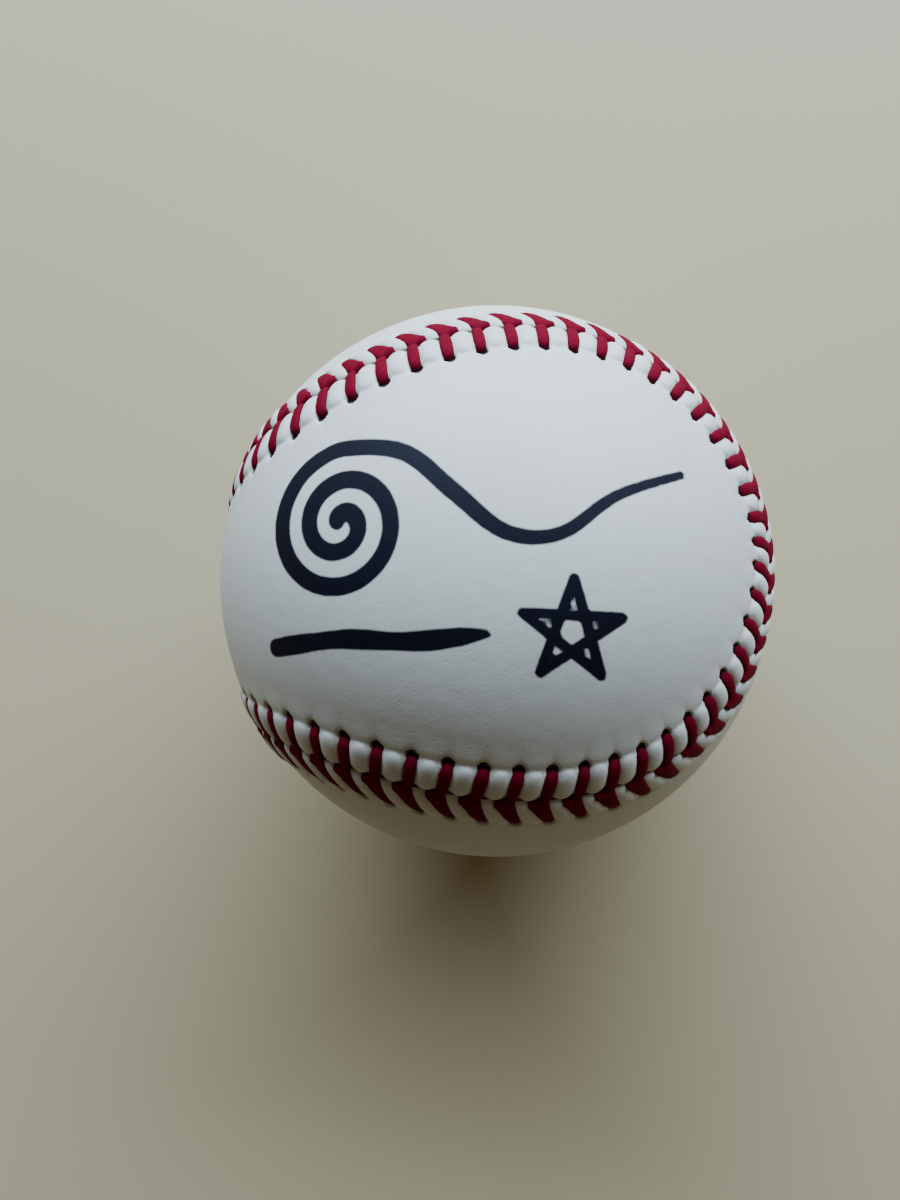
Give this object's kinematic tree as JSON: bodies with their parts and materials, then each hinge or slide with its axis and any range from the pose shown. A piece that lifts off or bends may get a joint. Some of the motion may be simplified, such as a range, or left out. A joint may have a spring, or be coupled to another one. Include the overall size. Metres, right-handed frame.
{
  "type": "baseball",
  "caption": "Hand-stitched leather ball: two interlocking white panels with raised red stitches over a wound yarn body and a rubber-cased cork core, with a marker flourish on one lobe.",
  "frame": {"origin": "centre of the ball", "axes": "+Z through the middle of a lobe of cover panel A, which carries the marker flourish; +X through the neck of cover panel B; +Y through the middle of a lobe of cover panel B"},
  "size_m": [0.074, 0.074, 0.074],
  "materials": {
    "cork_core": "cork and rubber composite, matt, granular",
    "core_shell": "black moulded rubber, matt",
    "core_gasket": "red rubber, matt",
    "pill_jacket": "red moulded rubber, matt",
    "first_winding": "grey wool yarn, wound",
    "second_winding": "white wool yarn, wound",
    "third_winding": "grey wool yarn, wound",
    "finishing_winding": "fine white cotton yarn, wound",
    "cement_coat": "thin rubber cement, tacky",
    "leather": "white tanned cowhide, satin, with a black marker flourish on one lobe",
    "seam_thread": "waxed crimson thread, satin"
  },
  "bodies": {
    "root": {"cork_core": "cork_core", "core_shell_upper": "core_shell", "core_shell_lower": "core_shell", "core_gasket": "core_gasket", "pill_jacket": "pill_jacket", "first_winding": "first_winding", "second_winding": "second_winding", "third_winding": "third_winding", "finishing_winding": "finishing_winding", "cement_coat": "cement_coat", "cover_panel_a": "leather", "cover_panel_b": "leather", "seam_thread_a": "seam_thread", "seam_thread_b": "seam_thread"}
  },
  "joints": []
}
